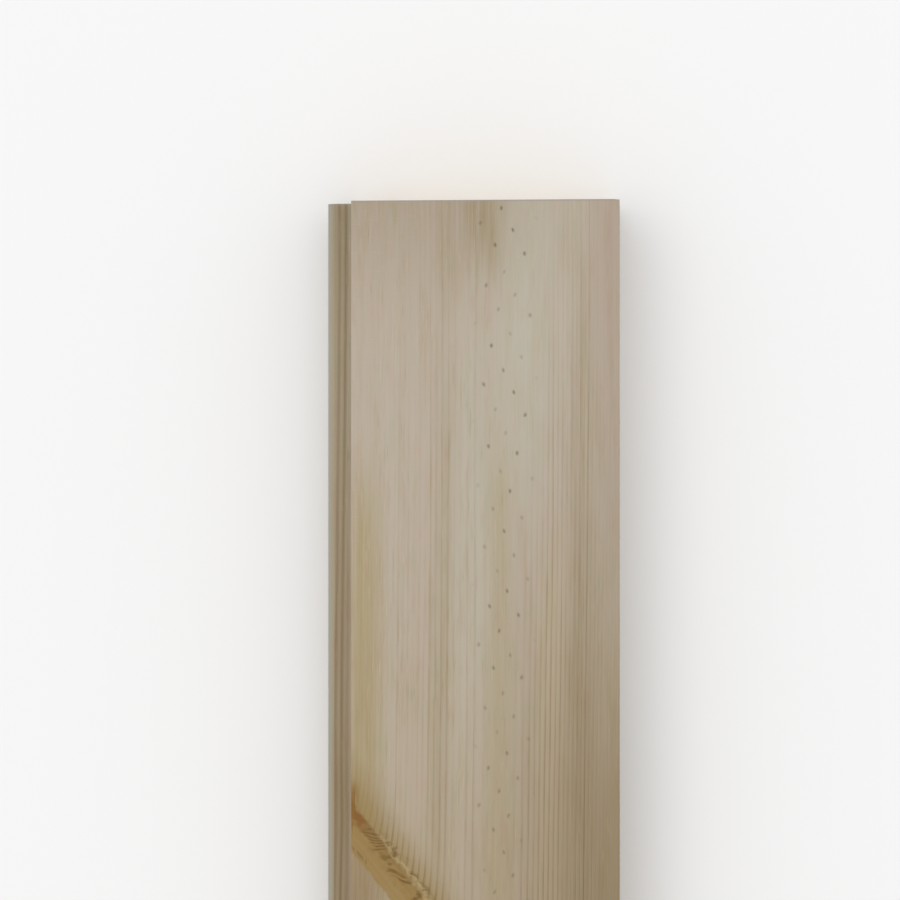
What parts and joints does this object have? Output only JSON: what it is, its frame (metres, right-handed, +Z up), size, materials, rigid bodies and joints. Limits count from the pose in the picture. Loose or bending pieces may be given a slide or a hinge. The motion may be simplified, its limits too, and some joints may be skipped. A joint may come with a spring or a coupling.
{
  "type": "tongue-and-groove pine floorboard",
  "caption": "Solid planed pine floorboard with a bevelled tongue along one edge and a matching groove along the other, for laying face up across joists.",
  "frame": {"origin": "middle of the underside's bounding box, on the level that the board lies on", "axes": "+X from the tongue to the groove across the board, +Y along the board towards the end that the picture shows, +Z up out of the face"},
  "size_m": [0.12, 1.8, 0.045],
  "materials": {
    "planed_pine": "planed and unsealed, sawn at the ends"
  },
  "bodies": {
    "root": {"floorboard": "planed_pine"}
  },
  "joints": []
}
